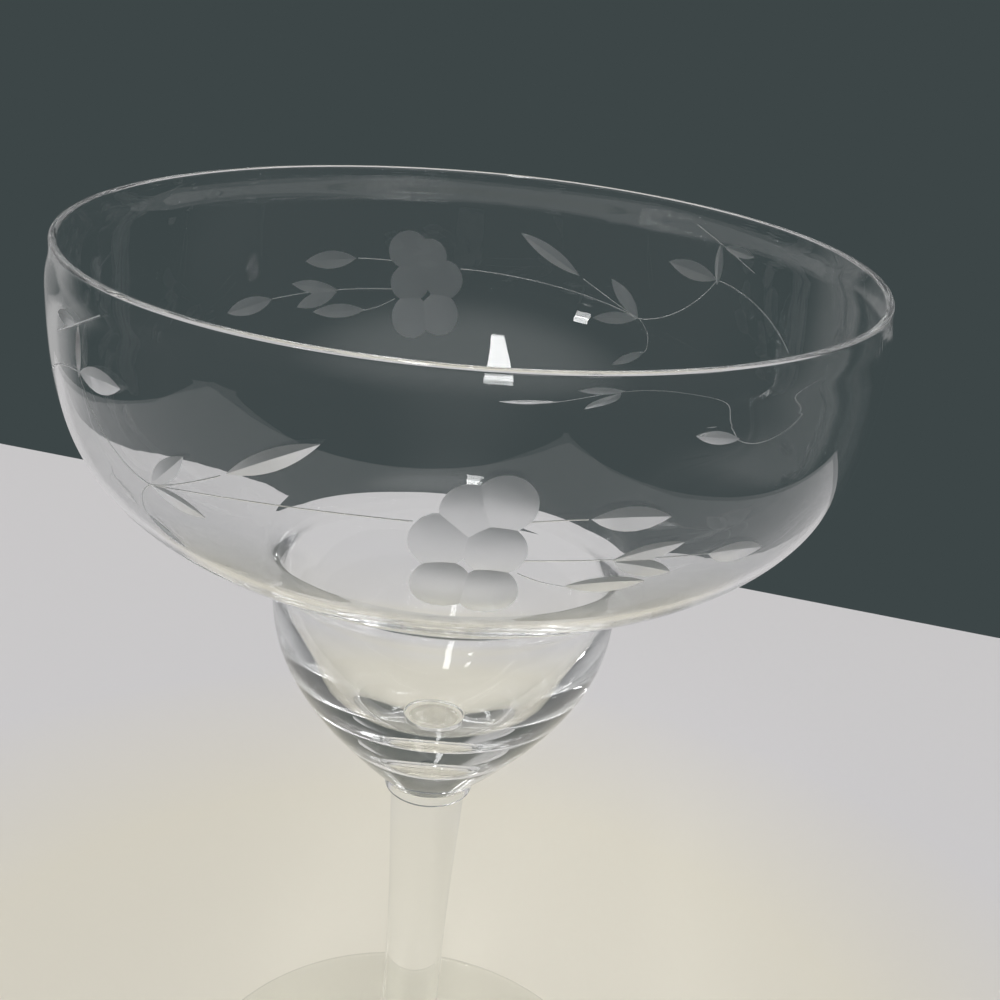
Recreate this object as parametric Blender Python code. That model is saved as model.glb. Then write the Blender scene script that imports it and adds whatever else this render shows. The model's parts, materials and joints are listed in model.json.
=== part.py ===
"""Margarita glass of clear glass, fused from four gathers: a wide bowl blown in one piece with a small
lower cup, a wafer collar, a drawn stem and a flat foot. Metres, +Z up, origin under the foot's centre."""

import math

import bmesh
import bpy
from mathutils import Vector
from mathutils.geometry import interpolate_bezier

# Bowl: the wide upper part, from the rim down to the waist
RIM_RADIUS = 0.0570
RIM_WALL = 0.0011
BELLY_BULGE = 0.0007
BELLY_DROP = 0.0067
BELLY_WALL = 0.0013
BELLY_SWEEP = 0.0265
BOWL_DEPTH = 0.0480
UNDERSIDE_SWEEP = 0.0234
UNDERSIDE_SLOPE = math.radians(28.6)

# Bowl: the waist and the lower cup, down to the pad that the collar is fused to
WAIST_RADIUS = 0.02635
WAIST_WALL = 0.0017
WAIST_FILLET = 0.0045
UNDERSIDE_WALL = 0.0013
RIDGE_ROUND = 0.0075
CUP_DEPTH = 0.0395
SHOULDER_SWEEP = 0.0098
CONE_SWEEP = 0.0284
CONE_SLOPE = math.radians(44.6)
BASE_THICKNESS = 0.0086
INNER_SHOULDER_SWEEP = 0.0150
INNER_FLOOR_SWEEP = 0.0120

# Collar, the thin wafer between bowl and stem
COLLAR_RADIUS = 0.0071
COLLAR_THICKNESS = 0.0017
COLLAR_EDGE_ROUND = 0.0004

# Stem, a solid drawn rod that is slimmest below its middle
STEM_LENGTH = 0.0664
STEM_TOP_RADIUS = 0.0060
STEM_SLIM_RADIUS = 0.00487
STEM_SLIM_DROP = 0.0400
STEM_TOP_SWEEP = 0.0080
STEM_SLIM_SWEEP = 0.0220
STEM_LOWER_SWEEP = 0.0140
STEM_FOOT_RADIUS = 0.0075
STEM_FOOT_SWEEP = 0.0060
STEM_FOOT_SLOPE = math.radians(30)

# Foot, a disc that thins towards its edge and rests on a flat ring round a shallow hollow
FOOT_RADIUS = 0.0402
FOOT_EDGE = 0.0014
FOOT_PAD_HEIGHT = 0.0046
FOOT_FLARE_SWEEP = 0.0030
FOOT_TOP_SWEEP = 0.0220
FOOT_TOP_SLOPE = math.radians(2.5)
REST_RING_WIDTH = 0.0090
HOLLOW_DEPTH = 0.0008

# Clear glass, each gather with a faint tint of its own
GLASS_ROUGHNESS = 0.02
GLASS_IOR = 1.52
BOWL_TINT = (0.95, 0.97, 0.97)
COLLAR_TINT = (0.90, 0.94, 0.95)
STEM_TINT = (0.95, 0.97, 0.96)
FOOT_TINT = (0.95, 0.97, 0.96)

# Clearance left at each fused seat, and how finely the turned shapes are cut
FUSED_SEAM = 0.0003
BOWL_SEGMENTS = 56
STEM_SEGMENTS = 36
LONG_CURVE_POINTS = 11
SHORT_CURVE_POINTS = 8
ROUND_POINTS = 4
SMOOTH_ANGLE = math.radians(35)
MERGE_DISTANCE = 0.000005

# Heights at which the pieces stand above the surface under the foot
STEM_BASE = FOOT_PAD_HEIGHT + FUSED_SEAM
COLLAR_BASE = STEM_BASE + STEM_LENGTH + FUSED_SEAM
BOWL_BASE = COLLAR_BASE + COLLAR_THICKNESS + FUSED_SEAM


def clear_scene():
    for obj in list(bpy.data.objects):
        bpy.data.objects.remove(obj, do_unlink=True)


def clear_glass(name, tint):
    """A clear glass with a faint tint."""
    material = bpy.data.materials.new(name)
    material.use_nodes = True
    shader = material.node_tree.nodes["Principled BSDF"]
    shader.inputs["Base Color"].default_value = (*tint, 1.0)
    shader.inputs["Roughness"].default_value = GLASS_ROUGHNESS
    shader.inputs["Metallic"].default_value = 0.0
    shader.inputs["IOR"].default_value = GLASS_IOR
    shader.inputs["Transmission Weight"].default_value = 1.0
    return material


def slanted(length, angle):
    """An offset (radius, height) of this length, rising at the angle from level."""
    return length * math.cos(angle), length * math.sin(angle)


def sweep(start, start_handle, end_handle, end, points):
    """Points (radius, height) of one smooth span; each handle is an offset from its own end."""
    start, end = Vector(start), Vector(end)
    knots = [start, start + Vector(start_handle), end + Vector(end_handle), end]
    return [tuple(p)[:2] for p in interpolate_bezier(*[k.to_3d() for k in knots], points)]


def arc(centre, radius, start_angle, end_angle, points):
    """Points (radius, height) along part of a circle."""
    turns = [start_angle + (end_angle - start_angle) * i / (points - 1) for i in range(points)]
    return [(centre[0] + radius * math.cos(a), centre[1] + radius * math.sin(a)) for a in turns]


def turned(name, profile, segments, height, material, parent):
    """One closed solid, turned about the Z axis from a profile that starts and ends on the axis."""
    shape = bmesh.new()
    points = [shape.verts.new((radius, 0.0, z)) for radius, z in profile]
    lines = [shape.edges.new(pair) for pair in zip(points, points[1:])]
    bmesh.ops.spin(
        shape,
        geom=points + lines,
        cent=(0.0, 0.0, 0.0),
        axis=(0.0, 0.0, 1.0),
        angle=2.0 * math.pi,
        steps=segments,
    )
    bmesh.ops.remove_doubles(shape, verts=shape.verts, dist=MERGE_DISTANCE)
    bmesh.ops.recalc_face_normals(shape, faces=shape.faces)
    mesh = bpy.data.meshes.new(name)
    shape.to_mesh(mesh)
    shape.free()
    mesh.shade_smooth()
    mesh.set_sharp_from_angle(angle=SMOOTH_ANGLE)
    mesh.materials.append(material)
    obj = bpy.data.objects.new(name, mesh)
    obj.location.z = height
    obj.parent = parent
    bpy.context.collection.objects.link(obj)
    return obj


def bowl_outer(rim, crease, underside_angle):
    """The outer wall from the fire-polished rim over the belly and the waist to the pad."""
    belly = (RIM_RADIUS + BELLY_BULGE, rim - BELLY_DROP)
    lip = (RIM_RADIUS, rim - RIM_WALL / 2)
    half_drop = (lip[1] - belly[1]) / 2
    waist = arc(crease, WAIST_FILLET, underside_angle, math.pi, ROUND_POINTS)
    rise = slanted(UNDERSIDE_SWEEP, UNDERSIDE_SLOPE)
    cone = slanted(CONE_SWEEP, math.pi / 2 - CONE_SLOPE)
    points = sweep(lip, (0.0, -half_drop), (0.0, half_drop), belly, ROUND_POINTS)
    points += sweep(belly, (0.0, -BELLY_SWEEP), rise, waist[0], LONG_CURVE_POINTS)[1:]
    points += waist[1:]
    points += sweep(waist[-1], (0.0, -SHOULDER_SWEEP), cone, (COLLAR_RADIUS, 0.0), LONG_CURVE_POINTS)[1:]
    return points


def bowl_inner(rim, crease, underside_angle):
    """The inner wall, from the middle of the cup's floor up over the waist to the rim."""
    belly = (RIM_RADIUS + BELLY_BULGE - BELLY_WALL, rim - BELLY_DROP)
    lip = (RIM_RADIUS - RIM_WALL, rim - RIM_WALL / 2)
    half_drop = (lip[1] - belly[1]) / 2
    across = RIDGE_ROUND - WAIST_FILLET - WAIST_WALL
    along = UNDERSIDE_WALL + WAIST_FILLET - RIDGE_ROUND
    ridge_height = crease[1] + (along - across * math.cos(underside_angle)) / math.sin(underside_angle)
    ridge = arc((crease[0] + across, ridge_height), RIDGE_ROUND, math.pi, underside_angle, ROUND_POINTS)
    rise = slanted(UNDERSIDE_SWEEP, UNDERSIDE_SLOPE)
    floor = (0.0, BASE_THICKNESS)
    level, upright = (INNER_FLOOR_SWEEP, 0.0), (0.0, -INNER_SHOULDER_SWEEP)
    points = sweep(floor, level, upright, ridge[0], LONG_CURVE_POINTS)
    points += ridge[1:]
    points += sweep(ridge[-1], rise, (0.0, -BELLY_SWEEP), belly, LONG_CURVE_POINTS)[1:]
    points += sweep(belly, (0.0, half_drop), (0.0, -half_drop), lip, ROUND_POINTS)[1:]
    return points


def build_bowl(parent):
    """Upper bowl and lower cup in one blown piece, with a solid base under the cup's floor."""
    rim = CUP_DEPTH + BOWL_DEPTH
    underside_angle = math.pi / 2 + UNDERSIDE_SLOPE
    fillet_reach = WAIST_FILLET * math.tan((math.pi - underside_angle) / 2)
    crease = (WAIST_RADIUS + WAIST_FILLET, CUP_DEPTH - fillet_reach)
    outer = bowl_outer(rim, crease, underside_angle)
    inner = bowl_inner(rim, crease, underside_angle)
    lip_centre = (RIM_RADIUS - RIM_WALL / 2, rim - RIM_WALL / 2)
    lip = arc(lip_centre, RIM_WALL / 2, math.pi, 0.0, ROUND_POINTS)
    profile = inner + lip[1:-1] + outer + [(0.0, 0.0)]
    turned("bowl", profile, BOWL_SEGMENTS, BOWL_BASE, clear_glass("bowl_glass", BOWL_TINT), parent)


def build_collar(parent):
    """A wafer with softly rounded edges, as wide as the bowl's pad."""
    inset = COLLAR_RADIUS - COLLAR_EDGE_ROUND
    upper = (inset, COLLAR_THICKNESS - COLLAR_EDGE_ROUND)
    lower = (inset, COLLAR_EDGE_ROUND)
    top = arc(upper, COLLAR_EDGE_ROUND, math.pi / 2, 0.0, ROUND_POINTS)
    bottom = arc(lower, COLLAR_EDGE_ROUND, 0.0, -math.pi / 2, ROUND_POINTS)
    profile = [(0.0, COLLAR_THICKNESS)] + top + bottom + [(0.0, 0.0)]
    turned("collar", profile, STEM_SEGMENTS, COLLAR_BASE, clear_glass("collar_glass", COLLAR_TINT), parent)


def build_stem(parent):
    """A solid rod that narrows below the collar and flares again above the foot."""
    top = (STEM_TOP_RADIUS, STEM_LENGTH)
    slim = (STEM_SLIM_RADIUS, STEM_LENGTH - STEM_SLIM_DROP)
    bottom = (STEM_FOOT_RADIUS, 0.0)
    flare = slanted(STEM_FOOT_SWEEP, math.pi / 2 + STEM_FOOT_SLOPE)
    points = sweep(top, (0.0, -STEM_TOP_SWEEP), (0.0, STEM_SLIM_SWEEP), slim, SHORT_CURVE_POINTS)
    points += sweep(slim, (0.0, -STEM_LOWER_SWEEP), flare, bottom, SHORT_CURVE_POINTS)[1:]
    profile = [(0.0, STEM_LENGTH)] + points + [(0.0, 0.0)]
    turned("stem", profile, STEM_SEGMENTS, STEM_BASE, clear_glass("stem_glass", STEM_TINT), parent)


def build_foot(parent):
    """A thin disc that flares up to the stem, hollowed a little underneath."""
    pad = (STEM_FOOT_RADIUS, FOOT_PAD_HEIGHT)
    edge_round = FOOT_EDGE / 2
    edge = arc((FOOT_RADIUS - edge_round, edge_round), edge_round, math.pi / 2, -math.pi / 2, ROUND_POINTS)
    flare = slanted(FOOT_FLARE_SWEEP, STEM_FOOT_SLOPE - math.pi / 2)
    slope = slanted(FOOT_TOP_SWEEP, math.pi - FOOT_TOP_SLOPE)
    upper = sweep(pad, flare, slope, edge[0], LONG_CURVE_POINTS)
    ring_inner = FOOT_RADIUS - edge_round - REST_RING_WIDTH
    hollow = sweep((ring_inner, 0.0), (-ring_inner / 2, HOLLOW_DEPTH), (ring_inner / 2, 0.0),
                   (0.0, HOLLOW_DEPTH), SHORT_CURVE_POINTS)
    profile = [(0.0, FOOT_PAD_HEIGHT)] + upper + edge[1:] + hollow
    turned("foot", profile, BOWL_SEGMENTS, 0.0, clear_glass("foot_glass", FOOT_TINT), parent)


def build_glass():
    clear_scene()
    glass = bpy.data.objects.new("margarita_glass", None)
    bpy.context.collection.objects.link(glass)
    build_foot(glass)
    build_stem(glass)
    build_collar(glass)
    build_bowl(glass)


build_glass()
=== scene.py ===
import json
import math

import bpy
from mathutils import Matrix, Vector
from mathutils.interpolate import poly_3d_calc

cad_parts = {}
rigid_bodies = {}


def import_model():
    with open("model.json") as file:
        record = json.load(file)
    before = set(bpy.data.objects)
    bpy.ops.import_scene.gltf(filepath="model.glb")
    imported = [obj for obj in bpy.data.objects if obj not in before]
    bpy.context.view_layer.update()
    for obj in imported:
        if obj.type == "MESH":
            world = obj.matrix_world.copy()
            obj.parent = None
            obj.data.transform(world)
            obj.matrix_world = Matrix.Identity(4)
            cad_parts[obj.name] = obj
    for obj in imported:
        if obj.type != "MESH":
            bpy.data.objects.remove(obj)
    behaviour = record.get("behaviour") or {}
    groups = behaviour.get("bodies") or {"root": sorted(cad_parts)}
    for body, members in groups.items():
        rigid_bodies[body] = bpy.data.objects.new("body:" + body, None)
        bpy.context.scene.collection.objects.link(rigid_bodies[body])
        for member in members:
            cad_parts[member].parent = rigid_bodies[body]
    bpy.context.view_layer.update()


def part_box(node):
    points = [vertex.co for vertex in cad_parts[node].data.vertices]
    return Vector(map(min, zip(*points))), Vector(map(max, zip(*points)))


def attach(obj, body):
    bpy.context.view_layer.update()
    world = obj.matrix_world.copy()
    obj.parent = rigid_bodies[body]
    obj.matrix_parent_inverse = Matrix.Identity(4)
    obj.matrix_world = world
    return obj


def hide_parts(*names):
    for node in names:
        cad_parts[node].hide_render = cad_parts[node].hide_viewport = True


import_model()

# the pieces meet halfway between their CAD seats, so the glass runs on without a gap
bowlLow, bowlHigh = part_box("bowl")
collarLow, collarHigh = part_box("collar")
stemLow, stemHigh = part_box("stem")
footLow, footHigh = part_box("foot")
seats = {
    "collarTop": (bowlLow[2] + collarHigh[2]) / 2,
    "stemTop": (collarLow[2] + stemHigh[2]) / 2,
    "footTop": (stemLow[2] + footHigh[2]) / 2,
    "seatSlack": 0.00002,   # how near a flat face lies to its seat
}

turning = {
    "steps": 240,           # cuts round the axis, the same on every piece so the seats match
    "mergeWithin": 0.000002,
    "smoothAngle": math.radians(30),
}


def srgb(red, green, blue):
    def linear(value):
        share = value / 255
        return share / 12.92 if share <= 0.04045 else ((share + 0.055) / 1.055) ** 2.4
    return (linear(red), linear(green), linear(blue), 1.0)


def slanted(length, angle):
    return (length * math.cos(angle), length * math.sin(angle))


def opposite(offset):
    return (-offset[0], -offset[1])


def pickOnly(obj):
    if bpy.context.mode != "OBJECT":
        bpy.ops.object.mode_set(mode="OBJECT")
    bpy.ops.object.select_all(action="DESELECT")
    obj.select_set(True)
    bpy.context.view_layer.objects.active = obj


def roundHandle(radius, angle):
    return 4 / 3 * math.tan(angle / 4) * radius   # handle length of a circular arc


# a knot is (radius, height, handle before it, handle after it); no handle makes a corner
def drawProfile(name, knots, pointsPerSpan):
    bpy.ops.object.select_all(action="DESELECT")
    bpy.ops.curve.primitive_bezier_curve_add(location=(0, 0, 0))
    curve = bpy.context.object
    curve.name = name
    curve.data.resolution_u = pointsPerSpan
    spline = curve.data.splines[0]
    spline.bezier_points.add(len(knots) - 2)
    for point, (radius, height, before, after) in zip(spline.bezier_points, knots):
        point.handle_left_type = "FREE"
        point.handle_right_type = "FREE"
        point.co = (radius, 0, height)
        point.handle_left = (radius + before[0], 0, height + before[1])
        point.handle_right = (radius + after[0], 0, height + after[1])
    bpy.ops.object.convert(target="MESH")
    return bpy.context.object


# the same curve with one knot more in the middle of a long span
def splitSpan(knots, first):
    startRadius, startHeight, startBefore, startAfter = knots[first]
    endRadius, endHeight, endBefore, endAfter = knots[first + 1]
    start, end = Vector((startRadius, startHeight)), Vector((endRadius, endHeight))
    leave, arrive = start + Vector(startAfter), end + Vector(endBefore)
    turn = (leave + arrive) / 2
    left, right = (start + leave) / 2, (arrive + end) / 2
    before, after = (left + turn) / 2, (turn + right) / 2
    middle = (before + after) / 2
    knots[first:first + 2] = [
        (startRadius, startHeight, startBefore, tuple(left - start)),
        (middle.x, middle.y, tuple(before - middle), tuple(after - middle)),
        (endRadius, endHeight, tuple(right - end), endAfter),
    ]


def turnProfile(piece):
    pickOnly(piece)
    bpy.ops.object.mode_set(mode="EDIT")
    bpy.ops.mesh.select_all(action="SELECT")
    bpy.ops.mesh.spin(steps=turning["steps"], angle=2 * math.pi, center=(0, 0, 0), axis=(0, 0, 1))
    bpy.ops.mesh.select_all(action="SELECT")
    bpy.ops.mesh.remove_doubles(threshold=turning["mergeWithin"])
    bpy.ops.mesh.fill_holes(sides=0)   # the flat seats
    bpy.ops.mesh.select_all(action="SELECT")
    bpy.ops.mesh.normals_make_consistent(inside=False)
    bpy.ops.object.mode_set(mode="OBJECT")
    bpy.ops.object.shade_smooth_by_angle(angle=turning["smoothAngle"])


def coatPiece(piece, glass, seatHeights):
    piece.data.materials.clear()
    piece.data.materials.append(glass)
    piece.data.materials.append(fusedJoint)
    for face in piece.data.polygons:
        wholeDisc = len(face.vertices) == turning["steps"]
        onSeat = any(abs(face.center.z - height) < seats["seatSlack"] for height in seatHeights)
        face.material_index = 1 if wholeDisc and onSeat else 0


def standFor(piece, node):
    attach(piece, "root")
    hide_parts(node)
    print("made", piece.name, "for", node, len(piece.data.polygons), "faces")


glassIndex = 1.52   # how strongly the glass bends light


# clear glass with the faint waviness of blown work
def clearGlass(name, s):
    material = bpy.data.materials.new(name)
    material.use_nodes = True
    nodes, links = material.node_tree.nodes, material.node_tree.links
    shader = nodes["Principled BSDF"]
    shader.inputs["Base Color"].default_value = s["tint"]
    shader.inputs["Roughness"].default_value = 0.0
    shader.inputs["IOR"].default_value = glassIndex
    shader.inputs["Transmission Weight"].default_value = 1.0
    place = nodes.new("ShaderNodeTexCoord")
    waves = nodes.new("ShaderNodeTexNoise")
    waves.inputs["Scale"].default_value = 1 / s["waveSize"]
    waves.inputs["Detail"].default_value = 1.0
    bump = nodes.new("ShaderNodeBump")
    bump.inputs["Strength"].default_value = 1.0
    bump.inputs["Distance"].default_value = s["waveHeight"]
    links.new(place.outputs["Object"], waves.inputs["Vector"])
    links.new(waves.outputs["Fac"], bump.inputs["Height"])
    links.new(bump.outputs["Normal"], shader.inputs["Normal"])
    return material


wheelCutSettings = {
    "tint": (0.86, 0.87, 0.88, 1),
    "clearness": 0.94,
    "grainPerMetre": 700,
    "grainDetail": 4,
    "grainLow": 0.3,
    "grainHigh": 0.7,
    "finestGrind": 0.29,
    "coarsestGrind": 0.35,
}


# ground glass left grey by the cutting wheel
def wheelCutGlass(name, s):
    material = bpy.data.materials.new(name)
    material.use_nodes = True
    nodes, links = material.node_tree.nodes, material.node_tree.links
    shader = nodes["Principled BSDF"]
    shader.inputs["Base Color"].default_value = s["tint"]
    shader.inputs["IOR"].default_value = glassIndex
    shader.inputs["Transmission Weight"].default_value = s["clearness"]
    place = nodes.new("ShaderNodeTexCoord")
    grain = nodes.new("ShaderNodeTexNoise")
    grain.inputs["Scale"].default_value = s["grainPerMetre"]
    grain.inputs["Detail"].default_value = s["grainDetail"]
    grind = nodes.new("ShaderNodeMapRange")
    grind.inputs["From Min"].default_value = s["grainLow"]
    grind.inputs["From Max"].default_value = s["grainHigh"]
    grind.inputs["To Min"].default_value = s["finestGrind"]
    grind.inputs["To Max"].default_value = s["coarsestGrind"]
    links.new(place.outputs["Object"], grain.inputs["Vector"])
    links.new(grain.outputs["Fac"], grind.inputs["Value"])
    links.new(grind.outputs["Result"], shader.inputs["Roughness"])
    return material


# inside a fused seat there is no surface at all, so it shows nothing
def fusedSeat(name):
    material = bpy.data.materials.new(name)
    material.use_nodes = True
    nodes, links = material.node_tree.nodes, material.node_tree.links
    nodes.remove(nodes["Principled BSDF"])
    through = nodes.new("ShaderNodeBsdfTransparent")
    links.new(through.outputs["BSDF"], nodes["Material Output"].inputs["Surface"])
    return material


fusedJoint = fusedSeat("fusedJoint")
wheelCut = wheelCutGlass("wheelCut", wheelCutSettings)

# bowl: the wide upper part and the lower cup, blown in one
bowlSettings = {
    "rimRadius": 0.0570,
    "rimWall": 0.0011,
    "bellyBulge": 0.0007,
    "bellyDrop": 0.0067,
    "bellyWall": 0.0013,
    "bellySweep": 0.0265,
    "bowlDepth": 0.0480,
    "undersideSweep": 0.0234,
    "undersideSlope": math.radians(28.6),
    "undersideWall": 0.0013,
    "waistRadius": 0.02635,
    "waistWall": 0.0017,
    "waistFillet": 0.0045,
    "ridgeRound": 0.0075,
    "cupDepth": 0.0395,
    "shoulderSweep": 0.0098,
    "coneSweep": 0.0284,
    "coneSlope": math.radians(44.6),
    "baseThickness": 0.0086,
    "innerShoulderSweep": 0.0150,
    "innerFloorSweep": 0.0120,
    "pointsPerSpan": 18,
    "tint": (0.985, 0.99, 0.99, 1),
    "waveSize": 0.022,
    "waveHeight": 0.00001,
}

collarSettings = {
    "radius": 0.0071,
    "edgeRound": 0.0004,
    "pointsPerSpan": 6,
    "tint": (0.95, 0.97, 0.98, 1),
    "waveSize": 0.006,
    "waveHeight": 0.000004,
}

stemSettings = {
    "topRadius": 0.0060,
    "slimRadius": 0.00487,
    "slimDrop": 0.0400,
    "topSweep": 0.0080,
    "slimSweep": 0.0220,
    "lowerSweep": 0.0140,
    "footRadius": 0.0075,
    "footSweep": 0.0060,
    "footSlope": math.radians(30),
    "pointsPerSpan": 40,
    "tint": (0.985, 0.99, 0.985, 1),
    "waveSize": 0.009,
    "waveHeight": 0.000006,
}

footSettings = {
    "radius": 0.0402,
    "edge": 0.0014,
    "flareSweep": 0.0030,
    "topSweep": 0.0220,
    "topSlope": math.radians(2.5),
    "ringWidth": 0.0090,
    "hollowDepth": 0.0008,
    "pointsPerSpan": 20,
    "tint": (0.995, 1.0, 0.995, 1),
    "waveSize": 0.018,
    "waveHeight": 0.00001,
}

corner = (0.0, 0.0)
seatRadius = collarSettings["radius"] - collarSettings["edgeRound"]


def makeBowl(s):
    base = bowlLow[2]
    rim = base + s["cupDepth"] + s["bowlDepth"]
    slope = s["undersideSlope"]
    turn = math.pi / 2 - slope                   # how far the wall turns at the waist
    reach = s["waistFillet"] * math.tan(turn / 2)
    creaseRadius = s["waistRadius"] + s["waistFillet"]
    creaseHeight = base + s["cupDepth"] - reach
    across = s["ridgeRound"] - s["waistFillet"] - s["waistWall"]
    along = s["undersideWall"] + s["waistFillet"] - s["ridgeRound"]
    ridgeRadius = creaseRadius + across
    ridgeHeight = creaseHeight + (along + across * math.sin(slope)) / math.cos(slope)
    rise = slanted(s["undersideSweep"], slope)
    ridgeBend = roundHandle(s["ridgeRound"], turn)
    waistBend = roundHandle(s["waistFillet"], turn)
    lipRound = s["rimWall"] / 2
    lipBend = roundHandle(lipRound, math.pi / 2)
    lipHeight = rim - lipRound
    bellyHeight = rim - s["bellyDrop"]
    halfDrop = (lipHeight - bellyHeight) / 2
    bellyRadius = s["rimRadius"] + s["bellyBulge"]
    upper = math.pi / 2 + slope                  # where the fillets meet the underside
    ridgeTop = slanted(s["ridgeRound"], upper)
    waistTop = slanted(s["waistFillet"], upper)
    knots = [
        (0.0, base + s["baseThickness"], corner, (s["innerFloorSweep"], 0)),
        (ridgeRadius - s["ridgeRound"], ridgeHeight, (0, -s["innerShoulderSweep"]), (0, ridgeBend)),
        (ridgeRadius + ridgeTop[0], ridgeHeight + ridgeTop[1], opposite(slanted(ridgeBend, slope)), rise),
        (bellyRadius - s["bellyWall"], bellyHeight, (0, -s["bellySweep"]), (0, halfDrop)),
        (s["rimRadius"] - s["rimWall"], lipHeight, (0, -halfDrop), (0, lipBend)),
        (s["rimRadius"] - lipRound, rim, (-lipBend, 0), (lipBend, 0)),
        (s["rimRadius"], lipHeight, (0, lipBend), (0, -halfDrop)),
        (bellyRadius, bellyHeight, (0, halfDrop), (0, -s["bellySweep"])),
        (creaseRadius + waistTop[0], creaseHeight + waistTop[1], rise, opposite(slanted(waistBend, slope))),
        (s["waistRadius"], creaseHeight, (0, waistBend), (0, -s["shoulderSweep"])),
        (collarSettings["radius"], seats["collarTop"],
         slanted(s["coneSweep"], math.pi / 2 - s["coneSlope"]), corner),
        (seatRadius, seats["collarTop"], corner, corner),
    ]
    outerBelly = 7   # the span where the sprays are cut, halved and halved again for close points
    for span in (outerBelly, outerBelly + 1, outerBelly):
        splitSpan(knots, span)
    bowl = drawProfile("blownBowl", knots, s["pointsPerSpan"])
    turnProfile(bowl)
    coatPiece(bowl, clearGlass("bowlGlass", s), [seats["collarTop"]])
    return bowl


def makeCollar(s):
    bend = roundHandle(s["edgeRound"], math.pi / 2)
    top, bottom = seats["collarTop"], seats["stemTop"]
    knots = [
        (seatRadius, top, corner, (bend, 0)),
        (s["radius"], top - s["edgeRound"], (0, bend), corner),
        (s["radius"], bottom + s["edgeRound"], corner, (0, -bend)),
        (seatRadius, bottom, (bend, 0), corner),
        (stemSettings["topRadius"], bottom, corner, corner),
    ]
    collar = drawProfile("waferCollar", knots, s["pointsPerSpan"])
    turnProfile(collar)
    coatPiece(collar, clearGlass("collarGlass", s), [top, bottom])
    return collar


def makeStem(s):
    slimHeight = stemHigh[2] - s["slimDrop"]
    flare = slanted(s["footSweep"], math.pi / 2 + s["footSlope"])
    knots = [
        (s["topRadius"], seats["stemTop"], corner, (0, -s["topSweep"])),
        (s["slimRadius"], slimHeight, (0, s["slimSweep"]), (0, -s["lowerSweep"])),
        (s["footRadius"], seats["footTop"], flare, corner),
    ]
    stem = drawProfile("drawnStem", knots, s["pointsPerSpan"])
    turnProfile(stem)
    coatPiece(stem, clearGlass("stemGlass", s), [seats["stemTop"], seats["footTop"]])
    return stem


def makeFoot(s):
    edgeRound = s["edge"] / 2
    bend = roundHandle(edgeRound, math.pi / 2)
    edgeCentre = s["radius"] - edgeRound
    ringInner = edgeCentre - s["ringWidth"]
    flare = slanted(s["flareSweep"], stemSettings["footSlope"] - math.pi / 2)
    slope = slanted(s["topSweep"], math.pi - s["topSlope"])
    knots = [
        (stemSettings["footRadius"], seats["footTop"], corner, flare),
        (edgeCentre, s["edge"], slope, (bend, 0)),
        (s["radius"], edgeRound, (0, bend), (0, -bend)),
        (edgeCentre, 0.0, (bend, 0), corner),
        (ringInner, 0.0, corner, (-ringInner / 2, s["hollowDepth"])),
        (0.0, s["hollowDepth"], (ringInner / 2, 0), corner),
    ]
    foot = drawProfile("flatFoot", knots, s["pointsPerSpan"])
    turnProfile(foot)
    coatPiece(foot, clearGlass("footGlass", s), [seats["footTop"]])
    return foot


# grey cutting on the bowl's outside: one spray, cut again about half a turn further round
spraySettings = {
    "repeats": 2,
    "repeatTurn": math.radians(186),
    "petalCrown": 0.0040,       # half height of a petal's wheel
    "petalLeastRise": 0.00002,
    "petalSegments": 64,
    "petalRings": 96,
    "leafWheelRadius": 0.067,
    "leafWheelHalfWidth": 0.0030,
    "leafWheelBevel": 0.00062,
    "leafWheelArc": math.radians(13),
    "leafWheelSteps": 28,
    "leafDepth": 0.00030,
    "leafLength": 0.0085,       # of a leaf cut by a wheel of that radius to that depth
    "stalkRadius": 0.00011,
    "stalkDepth": 0.00005,
    "stalkPoints": 14,
    "stalkStepsPerSpan": 5,
    "facetAngle": math.radians(7),
    "measureFrom": 0.2,         # well outside the wall
}

# petals: degrees round, height, half width, half height and depth of the cut
petals = [
    (2.0, 0.1451, 0.0035, 0.0034, 0.00017), (-1.2, 0.1411, 0.0036, 0.0037, 0.00019),
    (-0.4, 0.1349, 0.0035, 0.0042, 0.00035), (4.9, 0.1343, 0.0036, 0.0043, 0.00040),
    (5.9, 0.1464, 0.0033, 0.0034, 0.00022), (5.2, 0.1404, 0.0036, 0.0035, 0.00029),
]

# leaves: degrees round and height at the base, then at the tip, and a share of the full width
leaves = [
    (15, 0.1446, 25, 0.1443, 1.0), (19, 0.1390, 28, 0.1406, 0.8), (19, 0.1388, 27, 0.1365, 1.0),
    (14, 0.1355, 24.5, 0.1355, 0.8), (32, 0.1382, 42, 0.1369, 1.0),
    (-38.5, 0.1395, -32, 0.1451, 0.9), (-38.5, 0.1395, -30, 0.1379, 0.8),
    (-26.7, 0.1443, -13.3, 0.1514, 0.5), (-41.5, 0.1343, -36, 0.1310, 0.8),
    (-52.5, 0.1494, -42, 0.1504, 0.9), (-52.5, 0.1494, -52, 0.1550, 0.9), (-53, 0.1552, -59, 0.1549, 1.0),
    (-41.5, 0.1273, -32, 0.1258, 0.9), (-41.5, 0.1273, -38, 0.1211, 0.9), (-29, 0.1222, -16, 0.1207, 0.7),
    (-72.5, 0.1278, -63, 0.1254, 0.9),
]

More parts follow.
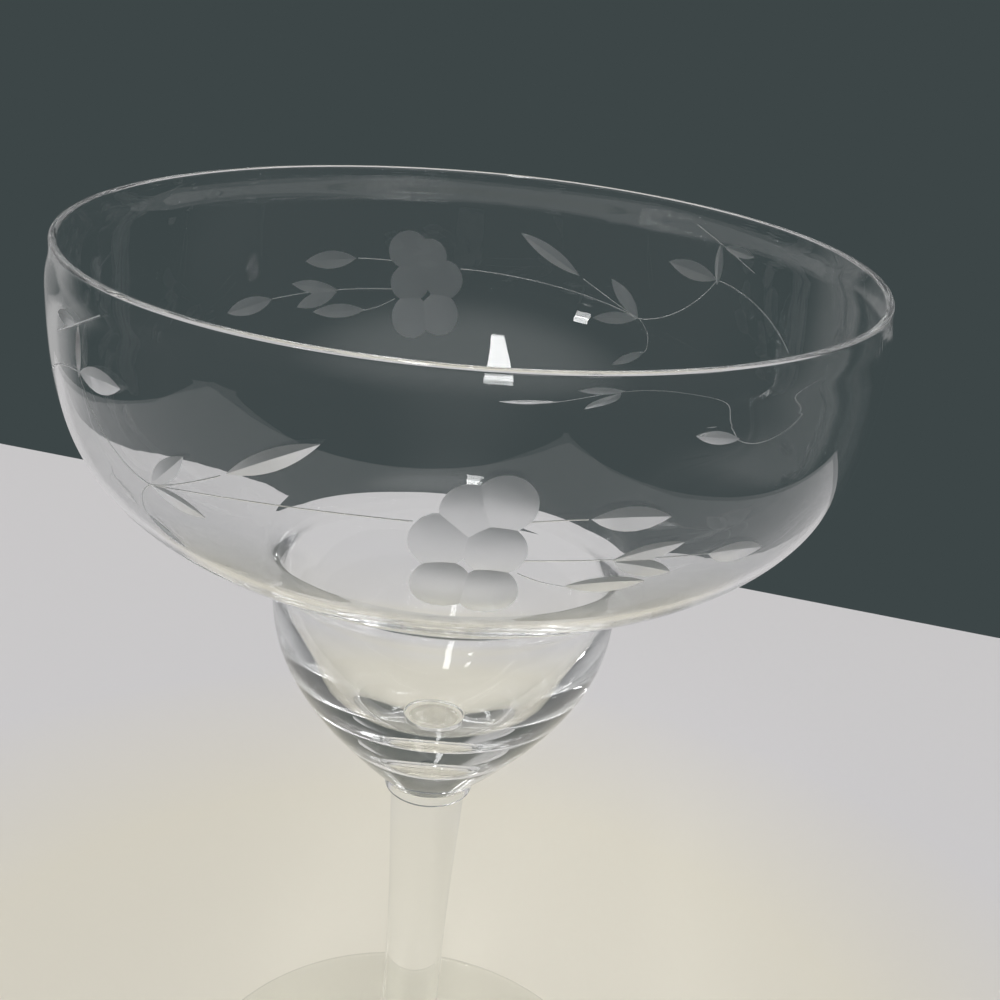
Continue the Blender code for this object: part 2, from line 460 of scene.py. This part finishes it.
# stalks: four guide points each, degrees round and height
stalks = [
    [(7, 0.1392), (15, 0.1394), (24, 0.1391), (32, 0.1383)],
    [(8, 0.1442), (10, 0.1444), (12.5, 0.1446), (15, 0.1446)],
    [(8, 0.1375), (10, 0.1365), (12, 0.1358), (14, 0.1355)],
    [(-4, 0.1434), (-14, 0.1432), (-26, 0.1422), (-38.5, 0.1395)],
    [(-38.5, 0.1395), (-35, 0.1404), (-31, 0.1422), (-26.7, 0.1443)],
    [(-38.5, 0.1395), (-41, 0.1380), (-42, 0.1360), (-41.5, 0.1343)],
    [(-38.5, 0.1395), (-44, 0.1400), (-49, 0.1440), (-52.5, 0.1494)],
    [(-52.5, 0.1494), (-57, 0.1492), (-64, 0.1475), (-72, 0.1425)],
    [(-47, 0.1578), (-50, 0.1565), (-53, 0.1550), (-60, 0.1524)],
    [(-86, 0.1400), (-82, 0.1310), (-78, 0.1280), (-72.5, 0.1278)],
    [(-72.5, 0.1278), (-62, 0.1300), (-52, 0.1305), (-41.5, 0.1273)],
    [(-41.5, 0.1273), (-37, 0.1260), (-33, 0.1235), (-29, 0.1222)],
]


def wallSpot(wall, turn, height):
    outward = Vector((math.sin(turn), -math.cos(turn), 0))
    start = outward * spraySettings["measureFrom"] + Vector((0, 0, height))
    found, spot, normal, face = wall.ray_cast(start, -outward)
    around = Vector((math.cos(turn), math.sin(turn), 0))
    upward = normal.cross(around)
    if upward.z < 0:
        upward.negate()
    return spot, normal, around, upward


def shiftedSpot(wall, spot, step):
    moved = spot + step
    return wallSpot(wall, math.atan2(moved.x, -moved.y), moved.z)


def keepCutter(tool, cutters):
    tool.data.materials.clear()
    tool.data.materials.append(wheelCut)
    cutters.objects.link(tool)


def cutAway(bowl, cutters):
    pickOnly(bowl)
    bpy.ops.object.modifier_add(type="BOOLEAN")
    boolean = bowl.modifiers[-1]
    boolean.operation = "DIFFERENCE"
    boolean.solver = "MANIFOLD"
    boolean.operand_type = "COLLECTION"
    boolean.collection = cutters
    boolean.material_mode = "TRANSFER"
    bpy.ops.object.modifier_apply(modifier=boolean.name)
    for tool in list(cutters.objects):
        bpy.data.objects.remove(tool)
    bpy.data.collections.remove(cutters)


def placeTool(tool, spot, along, normal, depth):
    across = normal.cross(along)
    frameAxes = Matrix((along, across, normal)).transposed().to_4x4()
    frameAxes.translation = spot - normal * depth
    tool.matrix_world = frameAxes
    pickOnly(tool)
    bpy.ops.object.transform_apply(location=True, rotation=True, scale=True)


def petalTool(s, spans):
    bpy.ops.object.select_all(action="DESELECT")
    bpy.ops.mesh.primitive_uv_sphere_add(
        segments=s["petalSegments"], ring_count=s["petalRings"], radius=1, location=(0, 0, 0))
    tool = bpy.context.object
    bpy.ops.object.mode_set(mode="EDIT")
    bpy.ops.transform.resize(value=(spans[0], spans[1], s["petalCrown"]))
    bpy.ops.transform.translate(value=(0, 0, s["petalCrown"]))
    bpy.ops.object.mode_set(mode="OBJECT")
    return tool


def leafTool(s, size, width):
    bpy.ops.object.select_all(action="DESELECT")
    bpy.ops.mesh.primitive_circle_add(vertices=3, radius=1, fill_type="NGON", location=(0, 0, 0))
    tool = bpy.context.object
    halfWidth, bevel = s["leafWheelHalfWidth"], s["leafWheelBevel"]
    corners = [(0, 0), (halfWidth, bevel), (-halfWidth, bevel)]
    for vertex, (across, height) in zip(tool.data.vertices, corners):
        vertex.co = (0, across, height)
    axle = Vector((0, 0, s["leafWheelRadius"]))
    start = Matrix.Rotation(s["leafWheelArc"] / 2, 4, "Y")
    tool.data.transform(Matrix.Translation(axle) @ start @ Matrix.Translation(-axle))
    bpy.ops.object.mode_set(mode="EDIT")
    bpy.ops.mesh.select_all(action="SELECT")
    bpy.ops.mesh.spin(
        steps=s["leafWheelSteps"], angle=s["leafWheelArc"], center=axle, axis=(0, 1, 0))
    bpy.ops.mesh.select_all(action="SELECT")
    bpy.ops.mesh.remove_doubles(threshold=turning["mergeWithin"])
    bpy.ops.mesh.normals_make_consistent(inside=False)
    bpy.ops.transform.resize(value=(size, size * width, size), center_override=(0, 0, 0))
    bpy.ops.object.mode_set(mode="OBJECT")
    return tool


def guidePoint(guide, share):
    rest = 1 - share
    weights = (rest ** 3, 3 * rest * rest * share, 3 * rest * share * share, share ** 3)
    turn = sum(w * math.radians(point[0]) for w, point in zip(weights, guide))
    height = sum(w * point[1] for w, point in zip(weights, guide))
    return turn, height


def cutStalk(wall, s, guide, offset, cutters):
    bpy.ops.object.select_all(action="DESELECT")
    bpy.ops.curve.primitive_bezier_curve_add(location=(0, 0, 0))
    line = bpy.context.object
    line.data.bevel_depth = s["stalkRadius"]
    line.data.bevel_resolution = 1
    line.data.use_fill_caps = True
    line.data.resolution_u = s["stalkStepsPerSpan"]
    points = line.data.splines[0].bezier_points
    points.add(s["stalkPoints"] - 2)
    for i, point in enumerate(points):
        turn, height = guidePoint(guide, i / (s["stalkPoints"] - 1))
        spot, normal = wallSpot(wall, turn + offset, height)[:2]
        point.co = spot + normal * (s["stalkRadius"] - s["stalkDepth"])
        point.handle_left_type = "AUTO"
        point.handle_right_type = "AUTO"
    bpy.ops.object.convert(target="MESH")
    tool = bpy.context.object
    bpy.ops.object.mode_set(mode="EDIT")
    bpy.ops.mesh.select_all(action="SELECT")
    bpy.ops.mesh.remove_doubles(threshold=turning["mergeWithin"])
    bpy.ops.mesh.normals_make_consistent(inside=False)
    bpy.ops.object.mode_set(mode="OBJECT")
    keepCutter(tool, cutters)


def cutLeaf(wall, s, leaf, offset, cutters):
    baseTurn, baseHeight, tipTurn, tipHeight, width = leaf
    base = wallSpot(wall, math.radians(baseTurn) + offset, baseHeight)[0]
    tip = wallSpot(wall, math.radians(tipTurn) + offset, tipHeight)[0]
    along = tip - base
    spot, normal = shiftedSpot(wall, base, along / 2)[:2]
    size = along.length / s["leafLength"]
    along = (along - normal * along.dot(normal)).normalized()
    tool = leafTool(s, size, width)
    placeTool(tool, spot, along, normal, s["leafDepth"] * size)
    keepCutter(tool, cutters)


def cutPetal(wall, s, petal, offset, cutters):
    turn, height, halfWidth, halfHeight, depth = petal
    spot, normal, around, upward = wallSpot(wall, math.radians(turn) + offset, height)
    spans = []
    for axis, half in ((around, halfWidth), (upward, halfHeight)):
        edge = shiftedSpot(wall, spot, axis * half)[0]
        fall = (spot - edge).dot(normal)           # how far the wall itself curves away
        rise = max(depth - fall, s["petalLeastRise"])
        spans.append(half * math.sqrt(s["petalCrown"] / (2 * rise)))
    tool = petalTool(s, spans)
    placeTool(tool, spot, around, normal, depth)
    keepCutter(tool, cutters)


# the clear glass round the cuts keeps the uncut wall's smooth shading
def smoothRoundCuts(bowl, wall, lowest):
    wallNormals = [shading.vector.copy() for shading in wall.data.corner_normals]
    normals = [shading.vector.copy() for shading in bowl.data.corner_normals]
    known = {}
    for face in bowl.data.polygons:
        if bowl.data.materials[face.material_index] == wheelCut or face.center.z < lowest:
            continue
        for vertex, faceCorner in zip(face.vertices, face.loop_indices):
            if vertex not in known:
                found, spot, flat, home = wall.closest_point_on_mesh(bowl.data.vertices[vertex].co)
                wallFace = wall.data.polygons[home]
                outline = [wall.data.vertices[v].co for v in wallFace.vertices]
                weights = poly_3d_calc(outline, spot)
                blend = Vector()
                for weight, wallCorner in zip(weights, wallFace.loop_indices):
                    blend += wallNormals[wallCorner] * weight
                known[vertex] = blend.normalized()
            normals[faceCorner] = known[vertex]
    bowl.data.normals_split_custom_set(normals)


def cutDecoration(bowl, s):
    wall = bowl.copy()
    wall.data = bowl.data.copy()       # an uncut wall to measure on
    bpy.context.scene.collection.objects.link(wall)
    bpy.context.view_layer.update()
    cutters = bpy.data.collections.new("cutters")
    bpy.context.scene.collection.children.link(cutters)
    for repeat in range(s["repeats"]):
        offset = s["repeatTurn"] * repeat
        for guide in stalks:
            cutStalk(wall, s, guide, offset, cutters)
        for leaf in leaves:
            cutLeaf(wall, s, leaf, offset, cutters)
        for petal in petals:
            cutPetal(wall, s, petal, offset, cutters)
    cutAway(bowl, cutters)
    pickOnly(bowl)
    bpy.ops.object.shade_smooth_by_angle(angle=s["facetAngle"])
    smoothRoundCuts(bowl, wall, bowlLow[2] + bowlSettings["cupDepth"])
    bpy.data.objects.remove(wall)
    print("cut the sprays,", len(bowl.data.polygons), "faces")


bowl = makeBowl(bowlSettings)
cutDecoration(bowl, spraySettings)
standFor(bowl, "bowl")
collar = makeCollar(collarSettings)
standFor(collar, "collar")
stem = makeStem(stemSettings)
standFor(stem, "stem")
foot = makeFoot(footSettings)
standFor(foot, "foot")

# pale floor, warm near the glass and cooler further out
floorSettings = {
    "left": -0.38,
    "right": 0.30,
    "front": -0.35,
    "back": 0.2505,
    "turn": math.radians(-14.7),
    "drop": 0.0003,
    "nearTone": srgb(214, 209, 195),
    "farTone": srgb(207, 205, 206),
    "nearReach": 0.10,
    "farReach": 0.16,
    "roughness": 0.55,
    "sheen": 0.25,
}


def floorFinish(s):
    material = bpy.data.materials.new("paleFloor")
    material.use_nodes = True
    nodes, links = material.node_tree.nodes, material.node_tree.links
    shader = nodes["Principled BSDF"]
    shader.inputs["Roughness"].default_value = s["roughness"]
    shader.inputs["Specular IOR Level"].default_value = s["sheen"]
    place = nodes.new("ShaderNodeTexCoord")
    reach = nodes.new("ShaderNodeVectorMath")
    reach.operation = "LENGTH"
    share = nodes.new("ShaderNodeMapRange")
    share.inputs["From Min"].default_value = s["nearReach"]
    share.inputs["From Max"].default_value = s["farReach"]
    tone = nodes.new("ShaderNodeMix")
    tone.data_type = "RGBA"
    tone.inputs["A"].default_value = s["nearTone"]
    tone.inputs["B"].default_value = s["farTone"]
    links.new(place.outputs["Object"], reach.inputs[0])
    links.new(reach.outputs["Value"], share.inputs["Value"])
    links.new(share.outputs["Result"], tone.inputs["Factor"])
    links.new(tone.outputs["Result"], shader.inputs["Base Color"])
    return material


def makeFloor(s):
    bpy.ops.object.select_all(action="DESELECT")
    bpy.ops.mesh.primitive_plane_add(size=1, location=(0, 0, 0))
    floor = bpy.context.object
    floor.name = "paleFloor"
    middle = ((s["left"] + s["right"]) / 2, (s["front"] + s["back"]) / 2, -s["drop"])
    bpy.ops.object.mode_set(mode="EDIT")
    bpy.ops.transform.resize(value=(s["right"] - s["left"], s["back"] - s["front"], 1))
    bpy.ops.transform.translate(value=middle)
    bpy.ops.object.mode_set(mode="OBJECT")
    floor.rotation_euler = (0, 0, s["turn"])
    bpy.ops.object.transform_apply(location=True, rotation=True, scale=True)
    floor.data.materials.append(floorFinish(s))


makeFloor(floorSettings)
print("laid the floor")

# slate backdrop behind the glass, paler past its left end, a dim room round it and a pale
# ceiling over the camera; light that has bounced off the floor sees an even pale fill instead
worldSettings = {
    "backdrop": srgb(61, 70, 71),
    "room": (0.11, 0.115, 0.12, 1),
    "leftEnd": (0.40, 0.40, 0.40, 1),
    "ceiling": (0.75, 0.75, 0.75, 1),
    "fill": (0.98, 0.98, 0.98, 1),
    "roomFrom": 0.35,       # how far towards the back the slate ends
    "roomTo": -0.25,
    "leftFrom": -0.33,
    "leftTo": -0.45,
    "leftBack": 0.75,       # how near to the back the pale end is at its full tone
    "leftFront": 0.50,
    "ceilingAim": (0, -0.5, 0.866),
    "ceilingFrom": 0.66,
    "ceilingTo": 0.99,
}


def blendTones(nodes, links, share, first, second):
    tone = nodes.new("ShaderNodeMix")
    tone.data_type = "RGBA"
    for socket, value in (("A", first), ("B", second)):
        if isinstance(value, tuple):
            tone.inputs[socket].default_value = value
        else:
            links.new(value, tone.inputs[socket])
    links.new(share, tone.inputs["Factor"])
    return tone.outputs["Result"]


def shareBetween(nodes, links, value, start, end):
    share = nodes.new("ShaderNodeMapRange")
    share.interpolation_type = "SMOOTHSTEP"
    share.inputs["From Min"].default_value = start
    share.inputs["From Max"].default_value = end
    links.new(value, share.inputs["Value"])
    return share.outputs["Result"]


def makeWorld(s):
    world = bpy.data.worlds.new("studio")
    bpy.context.scene.world = world
    world.use_nodes = True
    world.cycles.sampling_method = "NONE"   # an even world needs no map of bright spots
    nodes, links = world.node_tree.nodes, world.node_tree.links
    heading = nodes.new("ShaderNodeTexCoord")
    parts = nodes.new("ShaderNodeSeparateXYZ")
    links.new(heading.outputs["Generated"], parts.inputs["Vector"])
    overhead = nodes.new("ShaderNodeVectorMath")
    overhead.operation = "DOT_PRODUCT"
    overhead.inputs[1].default_value = s["ceilingAim"]
    links.new(heading.outputs["Generated"], overhead.inputs[0])
    roomShare = shareBetween(nodes, links, parts.outputs["Y"], s["roomFrom"], s["roomTo"])
    leftShare = shareBetween(nodes, links, parts.outputs["X"], s["leftFrom"], s["leftTo"])
    backShare = shareBetween(nodes, links, parts.outputs["Y"], s["leftFront"], s["leftBack"])
    ceilingShare = shareBetween(nodes, links, overhead.outputs["Value"], s["ceilingFrom"], s["ceilingTo"])
    endShare = nodes.new("ShaderNodeMath")
    endShare.operation = "MULTIPLY"
    links.new(leftShare, endShare.inputs[0])
    links.new(backShare, endShare.inputs[1])
    walls = blendTones(nodes, links, roomShare, s["backdrop"], s["room"])
    walls = blendTones(nodes, links, endShare.outputs["Value"], walls, s["leftEnd"])
    seen = blendTones(nodes, links, ceilingShare, walls, s["ceiling"])
    path = nodes.new("ShaderNodeLightPath")
    bounced = nodes.new("ShaderNodeMath")
    bounced.operation = "GREATER_THAN"
    bounced.inputs[1].default_value = 0.5   # between no bounce and the first
    links.new(path.outputs["Diffuse Depth"], bounced.inputs[0])
    lighting = blendTones(nodes, links, bounced.outputs["Value"], seen, s["fill"])
    links.new(lighting, nodes["Background"].inputs["Color"])


makeWorld(worldSettings)

# a long lamp under the ceiling and a small one before the glass
lampSettings = [
    {"name": "ceilingStrip", "place": (-0.135, -0.40, 0.93), "turn": (0, 0, math.radians(-6.8)),
     "width": 0.075, "length": 0.80, "power": 1.9},
    {"name": "frontLamp", "place": (-0.70, -0.84, 0.49), "turn": (math.radians(73), 0, math.radians(-39)),
     "width": 0.10, "length": 0.08, "power": 0.38},
]


def hangLamp(s):
    bpy.ops.object.select_all(action="DESELECT")
    bpy.ops.object.light_add(type="AREA", location=s["place"], rotation=s["turn"])
    lamp = bpy.context.object
    lamp.name = s["name"]
    lamp.data.shape = "RECTANGLE"
    lamp.data.size = s["width"]
    lamp.data.size_y = s["length"]
    lamp.data.energy = s["power"]
    lamp.visible_diffuse = False    # a highlight in the glass; the fill lights the floor


for settings in lampSettings:
    hangLamp(settings)
print("hung the lamps")

# the photograph's camera: close, looking down on the bowl and rolled a little
cameraSettings = {
    "place": (0, -0.1932, 0.2043),
    "pitch": math.radians(23.07),
    "roll": math.radians(4.853),
    "lens": 50.4,
    "sensor": 36,
    "shiftX": 0.048,
    "nearest": 0.005,
}


def setCamera(s):
    bpy.ops.object.select_all(action="DESELECT")
    bpy.ops.object.camera_add(location=s["place"])
    camera = bpy.context.object
    camera.rotation_euler = (
        Matrix.Rotation(math.pi / 2 - s["pitch"], 3, "X") @ Matrix.Rotation(s["roll"], 3, "Z")
    ).to_euler()
    camera.data.sensor_width = s["sensor"]
    camera.data.lens = s["lens"]
    camera.data.shift_x = s["shiftX"]
    camera.data.clip_start = s["nearest"]
    bpy.context.scene.camera = camera


setCamera(cameraSettings)
bpy.context.scene.view_settings.view_transform = "Standard"

# light runs a long way inside clear glass before it comes out
lightPaths = 128
bpy.context.scene.cycles.max_bounces = lightPaths
bpy.context.scene.cycles.transmission_bounces = lightPaths
bpy.context.scene.cycles.glossy_bounces = lightPaths
bpy.context.scene.cycles.blur_glossy = 0   # clear glass stays clear for light on its way to the floor
